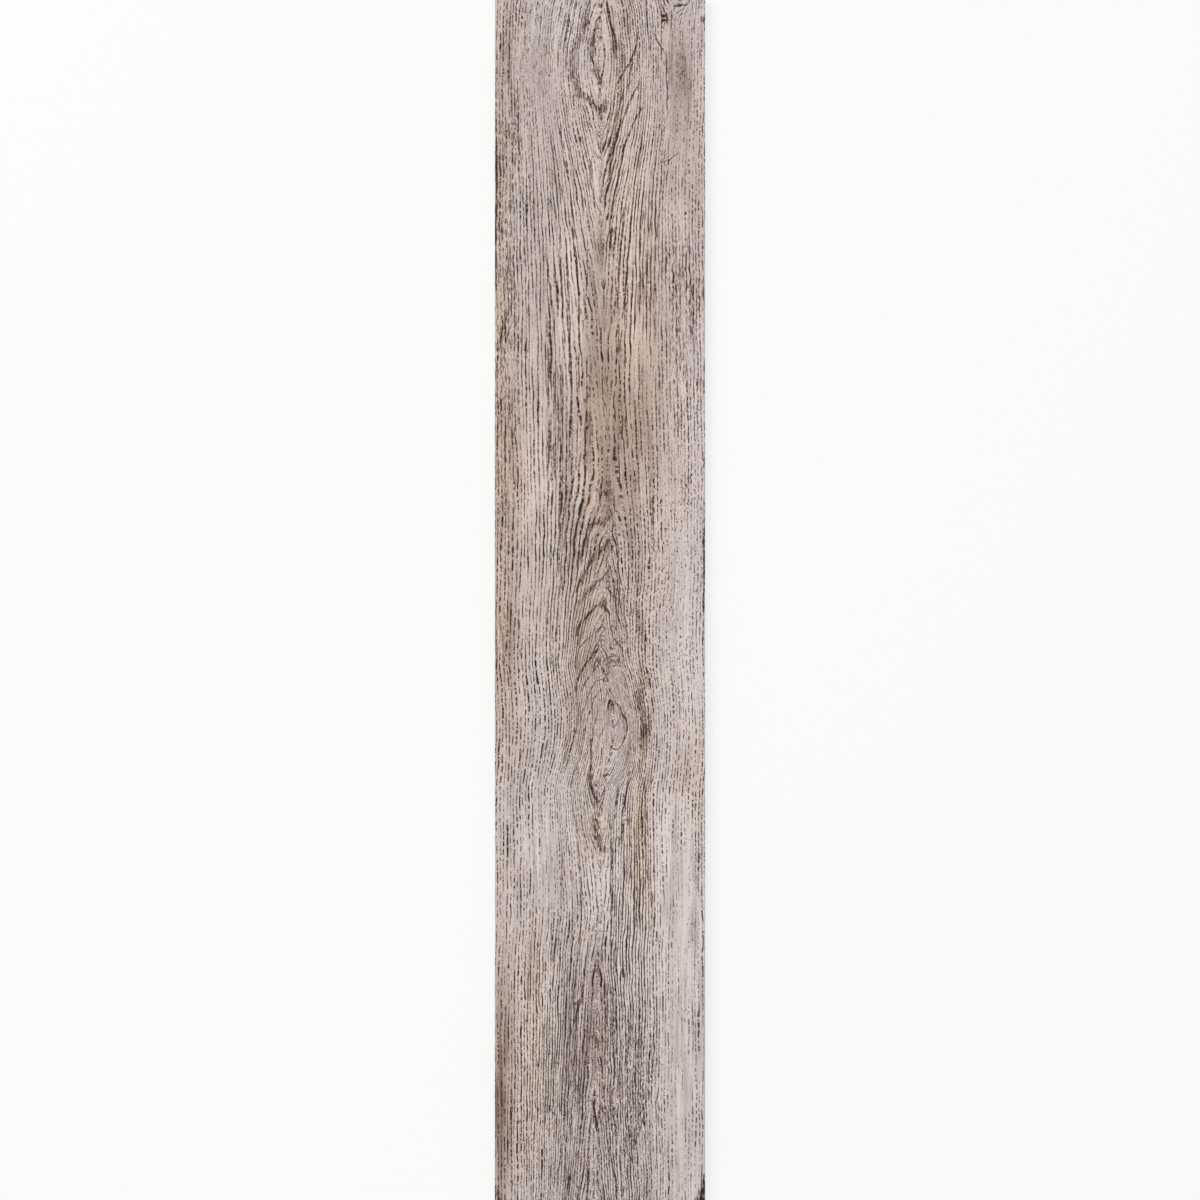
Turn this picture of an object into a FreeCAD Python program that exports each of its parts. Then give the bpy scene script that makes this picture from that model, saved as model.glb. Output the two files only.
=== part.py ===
"""Wood look porcelain plank tile: one pressed and fired slab, 7 x 40 inch format.

Frame: millimetres, +Z up, the printed face on top. X runs across the plank, Y along it.
The origin is at the middle of the back, on the plane of the ribs that the tile lies on.
"""

import FreeCAD
import Part
import math
import os

# Overall size of the ground plank
plank_length = 1000.0
plank_width = 175.0
plank_thickness = 9.5

# Small bevel ground at 45 degrees along the four edges of the printed face
face_bevel = 0.6

# Keyed back: a honeycomb of shallow cells between raised ribs, pressed for the bedding mortar to grip
key_cell_across = 19.0
key_rib = 4.2
key_depth = 0.8
key_draft_degrees = 40.0
key_border_least = 6.0

# Spacing of the cells along a row, and of the staggered rows
key_pitch = key_cell_across + key_rib
key_row_pitch = key_pitch * math.sqrt(3) / 2


def ground_slab():
    """The solid plank: straight ground sides, and the bevel round the printed face."""
    corner = FreeCAD.Vector(-plank_width / 2, -plank_length / 2, 0)
    slab = Part.makeBox(plank_width, plank_length, plank_thickness, corner)
    face_edges = [edge for edge in slab.Edges if edge.BoundBox.ZMin > plank_thickness / 2]
    return slab.makeChamfer(face_bevel, face_edges)


def hexagon(across_flats, height):
    """Corners of a hexagon about the Z axis, its flats facing along X, at the given height."""
    corner_radius = across_flats / math.sqrt(3)
    corners = []
    for step in range(6):
        angle = math.radians(30 + 60 * step)
        corners.append(FreeCAD.Vector(corner_radius * math.cos(angle), corner_radius * math.sin(angle), height))
    return corners


def flat_face(corners):
    """One flat face with these corners."""
    return Part.Face(Part.makePolygon(corners + corners[:1]))


def key_cell_tool():
    """One cell of the back as a cutting tool, its walls drafted in from the mouth to the cell's floor."""
    wall_run = key_depth * math.tan(math.radians(key_draft_degrees))
    mouth = hexagon(key_cell_across, 0)
    floor = hexagon(key_cell_across - 2 * wall_run, key_depth)
    faces = [flat_face(mouth), flat_face(floor)]
    for here in range(6):
        after = (here + 1) % 6
        faces.append(flat_face([mouth[here], mouth[after], floor[after], floor[here]]))
    return Part.makeSolid(Part.makeShell(faces))


def spread(count, pitch):
    """Places of a number of things at an even pitch, about zero."""
    return [(index - (count - 1) / 2) * pitch for index in range(count)]


def key_cell_centres():
    """Centres of the cells: staggered rows, a full one first and last, the others a cell shorter in turn."""
    cell_height = key_cell_across * 2 / math.sqrt(3)
    room_across = plank_width - 2 * key_border_least
    room_along = plank_length - 2 * key_border_least
    full_row = int((room_across + key_rib) // key_pitch)
    row_pairs = int((room_along - cell_height) // (2 * key_row_pitch))
    centres = []
    for row, y in enumerate(spread(2 * row_pairs + 1, key_row_pitch)):
        for x in spread(full_row - row % 2, key_pitch):
            centres.append(FreeCAD.Vector(x, y, 0))
    return centres


def keyed_plank():
    """The slab with its back pressed into a lattice of ribs."""
    cell = key_cell_tool()
    cells = [cell.translated(centre) for centre in key_cell_centres()]
    return ground_slab().cut(Part.makeCompound(cells)).Solids[0]


def main():
    os.makedirs("parts", exist_ok=True)
    plank = keyed_plank()
    plank.exportStep("parts/plank_tile.step")
    box = plank.BoundBox
    print(f"plank_tile: {box.XLength:.2f} x {box.YLength:.2f} x {box.ZLength:.2f} mm")
    print(f"cells in the back {len(key_cell_centres())}, faces {len(plank.Faces)}")
    print(f"volume {plank.Volume / 1000:.1f} cm3, valid {plank.isValid()}")


main()
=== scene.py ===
import math
import bpy
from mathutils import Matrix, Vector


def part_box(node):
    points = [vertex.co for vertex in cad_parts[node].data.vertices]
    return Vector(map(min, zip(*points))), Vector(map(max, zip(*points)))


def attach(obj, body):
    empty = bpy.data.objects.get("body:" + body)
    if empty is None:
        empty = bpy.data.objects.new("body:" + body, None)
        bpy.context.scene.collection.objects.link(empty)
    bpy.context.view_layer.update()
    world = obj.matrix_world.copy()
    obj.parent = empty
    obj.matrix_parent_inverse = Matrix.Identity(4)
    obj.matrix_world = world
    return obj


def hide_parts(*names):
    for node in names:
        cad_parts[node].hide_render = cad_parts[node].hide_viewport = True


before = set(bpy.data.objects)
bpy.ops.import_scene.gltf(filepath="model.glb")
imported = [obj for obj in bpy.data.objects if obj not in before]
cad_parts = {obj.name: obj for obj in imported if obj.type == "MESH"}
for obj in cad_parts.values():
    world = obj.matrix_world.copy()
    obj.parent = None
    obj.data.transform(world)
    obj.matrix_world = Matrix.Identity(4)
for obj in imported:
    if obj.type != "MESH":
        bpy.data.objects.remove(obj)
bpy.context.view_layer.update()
tileLow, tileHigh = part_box("plank_tile")
print("frame loaded, plank", [round(size * 1000, 2) for size in tileHigh - tileLow], "mm")


# node helpers, the same for the relief tree and the material trees

def feed(tree, socket, value):
    if isinstance(value, bpy.types.NodeSocket):
        tree.links.new(value, socket)
    else:
        socket.default_value = value


def calc(tree, operation, *values, clamp=False):
    node = tree.nodes.new("ShaderNodeMath")
    node.operation = operation
    node.use_clamp = clamp
    for socket, value in zip(node.inputs, values):
        feed(tree, socket, value)
    return node.outputs[0]


def weighed(tree, total, *parts):
    # each part times its own amount, on top of the total
    for value, amount in parts:
        total = calc(tree, "MULTIPLY_ADD", value, amount, total)
    return total


def ramp(tree, value, start, end, low=0.0, high=1.0, smooth=True):
    node = tree.nodes.new("ShaderNodeMapRange")
    node.interpolation_type = "SMOOTHSTEP" if smooth else "LINEAR"
    for socket, number in zip(node.inputs, (value, start, end, low, high)):
        feed(tree, socket, number)
    return node.outputs[0]


def profile(tree, place, points):
    # a smooth curve through (place, height) points
    places = [point[0] for point in points]
    heights = [point[1] for point in points]
    bottom, top = min(heights), max(heights)
    node = tree.nodes.new("ShaderNodeFloatCurve")
    line = node.mapping.curves[0]
    while len(line.points) < len(points):
        line.points.new(0.5, 0.5)
    for knob, (spot, height) in zip(line.points, points):
        share = (spot - places[0]) / (places[-1] - places[0])
        knob.location = (share, (height - bottom) / (top - bottom))
    node.mapping.update()
    feed(tree, node.inputs["Value"], ramp(tree, place, places[0], places[-1], smooth=False))
    return ramp(tree, node.outputs[0], 0, 1, bottom, top, smooth=False)


def vector(tree, *parts):
    node = tree.nodes.new("ShaderNodeCombineXYZ")
    for socket, value in zip(node.inputs, parts):
        feed(tree, socket, value)
    return node.outputs[0]


def split(tree, value):
    node = tree.nodes.new("ShaderNodeSeparateXYZ")
    feed(tree, node.inputs[0], value)
    return node.outputs


def vectorMath(tree, operation, *values):
    node = tree.nodes.new("ShaderNodeVectorMath")
    node.operation = operation
    for socket, value in zip(node.inputs, values):
        feed(tree, socket, value)
    return node.outputs["Value" if operation in ("DOT_PRODUCT", "LENGTH") else "Vector"]


def scaled(tree, place, sizes, shift):
    # place counted in steps of these sizes, moved to its own part of the noise
    moved = (shift * 7.3, shift * 3.9, shift * 5.7)
    return vectorMath(tree, "MULTIPLY_ADD", place, [1 / size for size in sizes], moved)


def noise(tree, place, sizes, detail=0.0, rough=0.5, shift=0.0):
    node = tree.nodes.new("ShaderNodeTexNoise")
    feed(tree, node.inputs["Vector"], scaled(tree, place, sizes, shift))
    node.inputs["Scale"].default_value = 1
    node.inputs["Detail"].default_value = detail
    node.inputs["Roughness"].default_value = rough
    return node.outputs[0]


def ticks(tree, place, sizes, shift=0.0):
    # short marks, one in each drawn out cell, each with its own strength
    node = tree.nodes.new("ShaderNodeTexVoronoi")
    feed(tree, node.inputs["Vector"], scaled(tree, place, sizes, shift))
    node.inputs["Scale"].default_value = 1
    chance = split(tree, node.outputs["Color"])["X"]
    mark = ramp(tree, node.outputs["Distance"], 0.38, 0.12)
    return calc(tree, "MULTIPLY", mark, ramp(tree, chance, 0.1, 0.8))


# run of the sawn board's grain, in millimetres on the face: along from the middle, then the value there
oakFigure = {
    # where the middle of the figure lies
    "axis": [
        (-500, -6), (-460, -5), (-415, -5), (-365, -4), (-300, -3), (-250, 1), (-200, 0), (-170, -1),
        (-150, 3), (-125, 10), (-105, 12), (-85, 10), (-60, 5), (-40, 2), (-5, 3), (22, 6), (49, 6.5),
        (110, 6.5), (165, 5), (250, 3), (325, 0), (375, 1), (430, 0), (450, -0.5), (500, 1),
    ],
    # how many rings are cut there
    "years": [
        (-500, -4.4), (-450, -3.4), (-400, -2.7), (-340, -2.3), (-310, -2), (-280, -1.7), (-250, -1.6),
        (-220, -1.9), (-190, -2.8), (-160, -4.4), (-130, -5.8), (-102, -6), (-80, -5.2), (-60, -4.4),
        (-51, -3.4), (-40, -2.4), (-25, -1.4), (-4, -0.4), (22, 0.6), (49, 1.6), (72, 2.6), (100, 3.1),
        (130, 3), (200, 2.2), (258, 1.4), (290, 0.8), (330, -0.2), (367, -1.5), (400, -3), (430, -4),
        (450, -4.3), (475, -3.7), (500, -2.5),
    ],
    # how blunt they turn, how far out the turn reaches, and how much steeper the right limbs are
    "tipRound": [
        (-500, 3), (-300, 2), (-250, 3), (-195, 6), (-150, 4), (-100, 6), (-40, 5), (30, 4), (80, 2.5),
        (130, 0.6), (250, 0.6), (310, 1.5), (360, 3), (430, 5), (500, 4),
    ],
    "reach": [
        (-500, 40), (-300, 38), (-150, 30), (-80, 24), (0, 22), (100, 26), (200, 36), (330, 42), (420, 48),
        (500, 40),
    ],
    "lopsided": [
        (-500, 0), (-200, 0.2), (-100, 0.4), (0, 0.6), (100, 0.5), (200, 0.1), (500, 0),
    ],
    "axisReach": 45,
    "rightLimb": 20,
    "ringGap": 5.3,
    "slopeStep": 5,
    "flattest": 0.01,
    "poreGap": 2.9,     # rows of pores
    "poreWidth": 0.45,
    "poreDrift": 0.9,
    "poreShake": 0.7,
    "joined": 0.62,
    "sway": 5.0,
    "wobble": 2.0,
    "ragged": 4.0,
    # across, along, half width, half length, rise of the rings
    "knots": [(14, -105, 9, 20, -6.0), (70, 497, 7, 10, -12.0), (56, 485, 4, 8, -7.0)],
}

# noises of the wood: size across, along and through the grain in millimetres, detail, roughness, shift
oakNoise = {
    "sway": (60, 170, 1, 1, 0.5, 1),
    "wobble": (9, 34, 1, 1, 0.5, 2),
    "ragged": (11, 17, 1, 2, 0.5, 13),
    "poreDrift": (6, 120, 40, 1, 0.5, 33),
    "poreShake": (4, 16, 12, 1, 0.5, 30),
    "poreDepth": (2.6, 50, 30, 1, 0.5, 34),
    "pores": (1, 2.9, 60, 2, 0.5, 35),
    "shake": (2.5, 4.5, 8, 1, 0.5, 14),
    "breakUp": (0.9, 2.0, 4, 1, 0.5, 7),
    "streak": (1.3, 55, 25, 2, 0.5, 12),
    "nap": (0.8, 3.6, 6, 1, 0.5, 29),
    "speck": (0.75, 5.5, 5, 1, 0.5, 36),
    "grit": (0.75, 0.75, 3, 1, 0.6, 9),
    "broad": (14, 120, 50, 2, 0.5, 10),
    "mottle": (8, 15, 12, 2, 0.5, 21),
    "band": (4, 60, 25, 2, 0.5, 11),
    "roam": (6, 13, 10, 1, 0.5, 22),
    "hair": (400, 4.5, 0.9, 1, 0.5, 26),
    "gaps": (3, 12, 6, 1, 0.5, 23),
    "smudge": (0.8, 5, 6, 1, 0.5, 31),
    "stain": (1.1, 1.8, 4, 2, 0.5, 28),
    "worn": (5, 36, 20, 3, 0.6, 27),
    "level": (2.5, 45, 20, 2, 0.5, 24),
}


def woodNoise(tree, place, name):
    *sizes, detail, rough, shift = oakNoise[name]
    return noise(tree, place, sizes, detail, rough, shift)


def swing(tree, place, name):
    # the same, going both ways from zero
    return calc(tree, "SUBTRACT", woodNoise(tree, place, name), 0.5)


def patch(tree, flat, midAcross, midAlong, halfWidth, halfLength):
    # a soft oval, 1 in its middle
    shift = (-midAcross / halfWidth, -midAlong / halfLength, 0)
    out = vectorMath(tree, "MULTIPLY_ADD", flat, (1 / halfWidth, 1 / halfLength, 0), shift)
    return calc(tree, "POWER", math.exp(-1), vectorMath(tree, "DOT_PRODUCT", out, out))


def patches(tree, flat, listed, total=0.0):
    return weighed(tree, total, *[(patch(tree, flat, *oval), amount) for *oval, amount in listed])


def grainPlace(tree, across, along):
    # rings out from the heart, length along the board, distance from the middle line
    flat = vector(tree, across, along, 0.0)
    near = calc(tree, "DIVIDE", across, oakFigure["axisReach"])
    near = calc(tree, "MULTIPLY_ADD", near, near, 1)
    side = calc(tree, "SUBTRACT", across, calc(tree, "DIVIDE", profile(tree, along, oakFigure["axis"]), near))
    side = weighed(tree, side, *[(swing(tree, flat, name), oakFigure[name]) for name in ("sway", "wobble")])
    tip = profile(tree, along, oakFigure["tipRound"])
    arch = calc(tree, "SQRT", calc(tree, "MULTIPLY_ADD", side, side, calc(tree, "MULTIPLY", tip, tip)))
    share = calc(tree, "DIVIDE", side, profile(tree, along, oakFigure["reach"]))
    fade = calc(tree, "EXPONENT", calc(tree, "MULTIPLY", calc(tree, "MULTIPLY", share, share), -1))
    right = ramp(tree, side, 0, oakFigure["rightLimb"])
    right = calc(tree, "MULTIPLY", right, profile(tree, along, oakFigure["lopsided"]))
    fade = calc(tree, "MULTIPLY", fade, calc(tree, "SUBTRACT", 1, right))
    height = calc(tree, "MULTIPLY", profile(tree, along, oakFigure["years"]), oakFigure["ringGap"])
    rings = calc(tree, "MULTIPLY_ADD", calc(tree, "SUBTRACT", height, tip), fade, arch)
    ragged = calc(tree, "MULTIPLY", swing(tree, flat, "ragged"), fade)
    rings = calc(tree, "MULTIPLY_ADD", ragged, oakFigure["ragged"], rings)
    rings = patches(tree, flat, oakFigure["knots"], rings)
    # how steeply the rings are cut: 1 where they stand on edge, less where they lie flat
    step = oakFigure["slopeStep"]
    upright = calc(tree, "DIVIDE", calc(tree, "ABSOLUTE", side), arch)
    ahead = profile(tree, calc(tree, "ADD", along, step), oakFigure["years"])
    behind = profile(tree, calc(tree, "SUBTRACT", along, step), oakFigure["years"])
    climb = calc(tree, "MULTIPLY", calc(tree, "SUBTRACT", ahead, behind), oakFigure["ringGap"] / (2 * step))
    climb = calc(tree, "MULTIPLY", climb, fade)
    steep = calc(tree, "MULTIPLY_ADD", upright, upright, oakFigure["flattest"])
    steep = calc(tree, "SQRT", calc(tree, "MULTIPLY_ADD", climb, climb, steep))
    return vector(tree, rings, along, side), upright, steep


def combed(tree, grain, steep, lined):
    # narrow rows of pores, run together into brushed out lines where the board is lined
    rings, along, side = split(tree, grain)
    gap = oakFigure["poreGap"]
    width = oakFigure["poreWidth"]
    phase = calc(tree, "DIVIDE", rings, gap)
    for name in ("poreDrift", "poreShake"):
        phase = calc(tree, "MULTIPLY_ADD", woodNoise(tree, grain, name), oakFigure[name], phase)
    off = calc(tree, "ABSOLUTE", calc(tree, "SUBTRACT", calc(tree, "FRACT", phase), 0.5))
    off = calc(tree, "DIVIDE", calc(tree, "MULTIPLY", off, gap), steep)
    line = ramp(tree, off, 1.5 * width, 0.5 * width)
    depth = ramp(tree, woodNoise(tree, grain, "poreDepth"), 0.28, 0.6, 0.35, 1.0)
    row = calc(tree, "MULTIPLY", calc(tree, "FLOOR", phase), 3.7)    # each row has pores of its own
    pores = woodNoise(tree, vector(tree, row, along, side), "pores")
    pores = ramp(tree, pores, 0.44, 0.54, 0.12, 1.1)
    joined = calc(tree, "MULTIPLY", calc(tree, "SUBTRACT", 1.0, pores), lined)
    pores = calc(tree, "MULTIPLY_ADD", joined, oakFigure["joined"], pores)
    return calc(tree, "MULTIPLY", line, calc(tree, "MULTIPLY", depth, pores))


# strokes of the board that the eye follows, traced over the face:
# darkness of each, then its points (across, along) in millimetres
grainStrokes = {}
grainStrokes["fine"] = [
    # crown, its rings pointing down
    (0.6, (-31.5, 500), (-32.7, 492), (-34, 484), (-35.2, 478)),
    (0.6, (-27, 498), (-28, 486), (-30.5, 475), (-33.5, 464), (-34.7, 455), (-35, 446)),
    (0.7, (-20, 500), (-21.4, 487), (-23.6, 475), (-26, 465), (-27.8, 454), (-28, 444)),
    (0.5, (-37.5, 470), (-39, 464), (-39.6, 457)),
    (0.8, (-8.2, 500), (-8.8, 491), (-9.6, 483), (-10.6, 477)),
    (0.6, (-10.8, 497), (-11.9, 488), (-12.3, 478), (-13, 469)),
    (0.6, (-20.5, 467), (-21.8, 460), (-23.2, 455), (-23.2, 449)),
    (0.8, (-22.8, 442), (-22, 435), (-20.4, 426)), (0.7, (-27, 435), (-26, 428), (-25, 420)),
    (0.6, (-29.5, 419), (-27.8, 412), (-26.5, 405)),
    (0.8, (2, 500), (1.5, 491), (-0.8, 481), (-4.2, 473), (-5.3, 463), (-5.9, 456)),
    (0.5, (0.7, 482), (1.5, 471), (3.7, 460), (4.2, 451), (3.2, 443), (1.2, 433), (0, 427)),
    (0.9, (-8.5, 455), (-6.2, 449), (-4.5, 442), (-2.2, 434), (0.4, 428)),
    (0.5, (13.5, 463), (13.6, 454), (12.3, 446), (11.7, 439)), (0.5, (33.5, 447), (31, 443), (28.5, 439)),
    (0.7, (20, 425), (18, 417), (15.8, 409), (13, 400)), (0.5, (5.2, 419), (4.6, 413), (2, 407), (0, 402)),
    (0.7, (-9.8, 397), (-6.5, 393), (-4.2, 387), (-2, 379.5), (0.2, 373), (1.6, 365)),
    (0.7, (-23, 397), (-21.8, 389), (-20, 382)), (0.5, (-15.5, 379), (-14.3, 372), (-13.8, 366)),
    (0.6, (-11, 372), (-9, 367), (-8.3, 358), (-7.9, 345)),
    (0.6, (-6.6, 367), (-6.7, 357), (-5.7, 345), (-5, 335), (-2.8, 329), (0, 324)),
    (0.8, (-35.5, 397), (-33.4, 389), (-31.4, 378), (-29.5, 364), (-26.9, 353), (-25, 342), (-23.8, 330)),
    (0.7, (-21.5, 368), (-20.5, 358), (-18.2, 349), (-15.3, 340), (-14.2, 333), (-13.8, 324)),
    (0.7, (-33.5, 346), (-31.6, 339), (-30.2, 331)),
    (0.6, (-40, 346), (-38.8, 336), (-37, 324), (-35.4, 311)),
    (0.7, (-29.5, 327), (-28.4, 320), (-28.4, 308)), (0.7, (-44, 332), (-43, 317), (-41.6, 303)),
    (0.6, (36, 376), (32.8, 361), (29.6, 348), (28, 335), (26.6, 323), (25.4, 308)),
    (0.7, (34.5, 351), (33.2, 341), (32.2, 330)), (0.7, (20.5, 339), (20.9, 331), (21.6, 326)),
    (0.8, (43.5, 331), (42.6, 318), (41.5, 303)), (0.8, (48.5, 319), (47.7, 304)),
    (0.7, (35.5, 323), (34.2, 306), (32.8, 284)),
    # straight run under the crown
    (0.8, (-17.7, 198), (-17.5, 182), (-17.5, 166), (-18.4, 150), (-19, 136), (-19.5, 125)),
    (0.7, (-10.4, 297), (-10.7, 286), (-10.3, 273), (-11.3, 258), (-12.3, 240), (-12, 234)),
    (0.8, (-31, 232), (-30.9, 210), (-31, 180), (-31, 150), (-31.2, 138), (-31, 104)),
    (0.7, (-38.5, 288), (-38, 276), (-38.2, 263)), (0.7, (28.2, 283), (27.4, 264), (25.8, 242)),
    (0.7, (32, 263), (31, 238)), (0.8, (39.9, 289), (39, 268), (38, 239)), (0.8, (43, 291), (42.2, 265)),
    (0.7, (36, 283), (35.2, 264), (34.8, 249)), (0.7, (45, 257), (44.5, 231)),
    (0.9, (41.5, 251), (41.2, 242)), (0.7, (3.1, 264), (3.1, 239)), (0.9, (1, 225), (0.2, 216)),
    (0.7, (25.3, 230), (25.2, 207)), (0.7, (15.8, 225), (15.8, 199), (16.6, 177)),
    (0.7, (20.6, 236), (20.5, 205), (20.8, 176), (21.4, 160), (22.8, 142)),
    (0.7, (-10.8, 200), (-10.9, 176), (-11.3, 155), (-12.5, 144), (-12.6, 126), (-13.4, 119)),
    (0.8, (-9, 186), (-8, 172)), (0.8, (-9.3, 156), (-7.8, 150)),
    (0.8, (-9, 148), (-8.3, 139), (-8.5, 132)),
    (0.8, (-38.8, 193), (-38.1, 160), (-38.4, 130), (-38.4, 103)),
    (0.7, (-35, 193), (-35, 165), (-35, 140), (-35.8, 108)),
    (0.7, (2, 191), (1.9, 180), (2.8, 167), (5, 160)), (0.6, (5.2, 185), (6.4, 172)),
    (0.8, (11, 169), (12.5, 157), (12.8, 150)), (0.8, (16.8, 169), (18.3, 156), (18.8, 135)),
    (0.8, (20, 131), (20.3, 118), (21.8, 102)), (0.8, (15.2, 137), (15.6, 120), (16.4, 99)),
    (0.9, (23.3, 133), (23.3, 127)), (0.6, (44.5, 193), (44, 181)), (0.7, (-20, 119), (-19.6, 109)),
    (0.8, (-28.2, 105), (-27.9, 88), (-29, 72)),
    # arches, pointing up
    (0.7, (-33, 55), (-33.8, 36), (-34.6, 21)), (0.6, (1, 88), (0.8, 79)), (0.7, (11.5, 85), (12.5, 75)),
    (0.35, (9.4, 70.7), (3, 65), (0, 62.5), (-5, 63.5), (-9, 62), (-12, 49), (-16, 38.5), (-18.4, 31)),
    (0.7, (10.5, 65), (10.4, 58), (11.2, 46), (12.2, 36), (12.3, 26)),
    (0.6, (-14.2, 81), (-17.2, 69), (-19.2, 64.5), (-20, 58), (-22, 45)),
    (0.9, (6.5, 49.5), (7.6, 45), (8.8, 40)), (0.6, (-7.5, 43), (-9, 29)), (0.7, (-18, 39), (-19, 28)),
    (0.6, (-13, 46), (-15.5, 36)),
    (0.45, (7.2, 20), (5, 22), (0.6, 16), (-2.3, 15.5), (-4, 12.5), (-9.4, 8.5), (-14.4, 1.5), (-17, -3)),
    (0.9, (8.5, 26.5), (10.5, 18), (11.5, 9), (12.6, 0)), (0.9, (14, 21), (15, 10), (16.2, 0)),
    (0.9, (16.7, 18), (18.8, 9), (20.6, 1)), (0.9, (6.8, 10.5), (8.8, 4), (10.2, 0)),
    (0.7, (21, 30.5), (22, 21)), (0.7, (23, 16), (23.6, 11)), (0.7, (30, 19), (31.6, 5)),
    (0.7, (33, 43), (32.8, 36)), (0.6, (29.5, 48), (29.7, 36)), (0.7, (44.4, 64), (45, 48), (45.8, 29)),
    (0.7, (-16.8, 17), (-19.2, 9), (-19.6, -1)), (0.6, (-20.5, 26), (-20.8, 18)),
    (0.7, (-13, 30), (-14.8, 15)), (0.7, (-40, 53), (-40.3, 38), (-41, 25)),
    (0.8, (-36.7, 61), (-37.4, 39)), (0.7, (-31, 26), (-31.8, 11)), (0.7, (-27, 46), (-27, 25)),
    (0.6, (-39, 21), (-39.3, 2)), (0.7, (-28.5, 61), (-29.6, 46)),
    (0.8, (8, -16), (9.4, -24), (11, -31.5), (15.5, -37), (17.2, -39.5)),
    (0.9, (13, -5), (15, -14), (18.6, -24.5)), (0.8, (10, -2), (10.4, -9)),
    (0.9, (11.2, -18), (13.5, -26), (18.8, -35.5)), (1.0, (16.5, 1), (17.1, -5)), (0.9, (21, 1), (21, -4)),
    (0.8, (20.3, -9), (21.2, -20), (22.4, -35)), (0.6, (25.5, -4), (27.2, -16)),
    (0.7, (-8, -30.5), (-12, -33.5), (-17.2, -40.5), (-19.3, -50)), (0.8, (-4.2, -27), (-3.3, -34)),
    (0.6, (-5, -22), (-1, -24.5), (2, -22), (5, -24)), (0.8, (0.4, -35), (2.5, -40.5)),
    (0.9, (9.2, -35.5), (8.4, -39), (11, -41), (13.8, -40)),
    (0.6, (4.8, -43.5), (6.8, -48), (8.6, -47), (12, -46.4), (15, -47), (19.6, -53)),
    (0.9, (-1.3, -51), (-4.5, -57), (-9, -64), (-12, -68.5), (-14.6, -74)),
    (0.8, (0.4, -50.5), (1, -55), (3.6, -59.5)), (0.6, (7.6, -52.3), (13.8, -51), (17.6, -52), (20.2, -54)),
    (0.6, (5.4, -57), (10, -55.5), (14.6, -54.3), (18, -56)),
    (1.0, (6.2, -61), (4.2, -65), (0, -66.4), (-3.6, -68), (-7.8, -75.5), (-11.4, -83.5)),
    (0.9, (3.8, -70.5), (-1, -77), (-5.8, -84), (-6.6, -88.5), (-9.4, -96), (-12.2, -106.5)),
    (0.7, (-1.2, -91), (-4.6, -104), (-7.2, -118)), (0.7, (-13, -89.5), (-16.2, -100)),
    (0.8, (-34.5, -15), (-35.5, -28)), (0.9, (-32.8, -24), (-33, -31)), (0.9, (-36, -49), (-36.3, -58)),
    (0.9, (-44.5, -45), (-44.4, -54)), (0.9, (-27.5, -30), (-28.2, -39)), (0.9, (-21.5, -24), (-22.2, -32)),
    (0.8, (-31, -38), (-31.7, -47)), (0.8, (-41, -40), (-40.8, -51)), (0.7, (-19.8, -45), (-20, -59)),
    # knot and the lines round it
    (1.0, (6.2, -91.5), (8.7, -83.8), (10.2, -86.2), (15.4, -87), (18.6, -95), (21, -98.5), (22.6, -107),
     (19.8, -116.5), (15.6, -123.4), (12.6, -124.5), (10, -123)),
    (0.5, (15.5, -88), (17, -95), (14.7, -101.7), (11, -107)),
    (0.5, (9.7, -96), (6.3, -102.5), (1.5, -109), (-1, -115)),
    (0.8, (-20, -109), (-22.4, -117.5), (-23.6, -122)), (0.6, (4, -146), (7, -145), (10, -146)),
    (0.7, (3.9, -151), (3.2, -161), (1.5, -175)), (0.8, (24.6, -167), (22, -183)),
    (0.9, (26, -179), (25, -203)), (0.8, (16, -180), (15.8, -188)), (0.6, (8.2, -167), (8.6, -178)),
    (0.7, (28.5, -158), (27.6, -166)), (0.8, (37, -149), (37.6, -166), (38.8, -181)),
    (0.9, (33, -135), (33, -142)),
    # straight run under the knot
    (0.8, (48.5, -273), (48.5, -285)), (0.9, (-43.2, -258), (-44, -269)),
    (0.7, (-31.5, -213), (-31.8, -240)), (0.7, (-5.5, -203), (-5.8, -228)),
    (0.8, (-40, -279), (-40.8, -303)), (0.9, (-37.8, -286), (-37.7, -298)),
    # foot, arches again
    (1.0, (-38.5, -308), (-39.4, -322)), (0.9, (-41, -334), (-42, -351)), (0.9, (-34.2, -344), (-34, -354)),
    (0.8, (-35.2, -324), (-35.7, -341)), (0.9, (-41, -366), (-41.6, -376)),
    (0.6, (11, -327.5), (15, -329.3), (20.5, -330)), (0.8, (20.2, -325), (20.5, -340), (21, -353)),
    (0.8, (16.5, -340), (18.2, -354)), (0.9, (32.5, -315), (32.8, -344)), (0.8, (40, -318), (40, -328)),
    (0.8, (10, -344), (10.2, -360), (11.1, -374)), (0.9, (-2, -368), (0, -378), (1.2, -388), (2.4, -394)),
    (0.8, (6.6, -366), (6.2, -373)), (0.8, (5, -383), (7, -390), (7.6, -397)),
    (0.8, (-24.5, -359), (-27.2, -371)), (0.9, (-21, -377), (-22.6, -389)),
    (0.7, (-28.3, -338), (-28.9, -357)), (0.7, (-29, -379), (-30, -399)),
    (0.8, (10.5, -419), (10.6, -427), (11.9, -436)), (1.0, (-1.5, -427), (-2.1, -439)),
    (0.8, (-2.5, -441), (-1.4, -454)), (0.9, (-1.3, -462), (-0.2, -475)), (0.8, (0.8, -477), (2.2, -484)),
    (0.7, (3, -489), (2.8, -500)), (0.9, (-29, -417), (-29.9, -436)), (0.9, (-40, -425), (-37.4, -429.5)),
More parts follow.
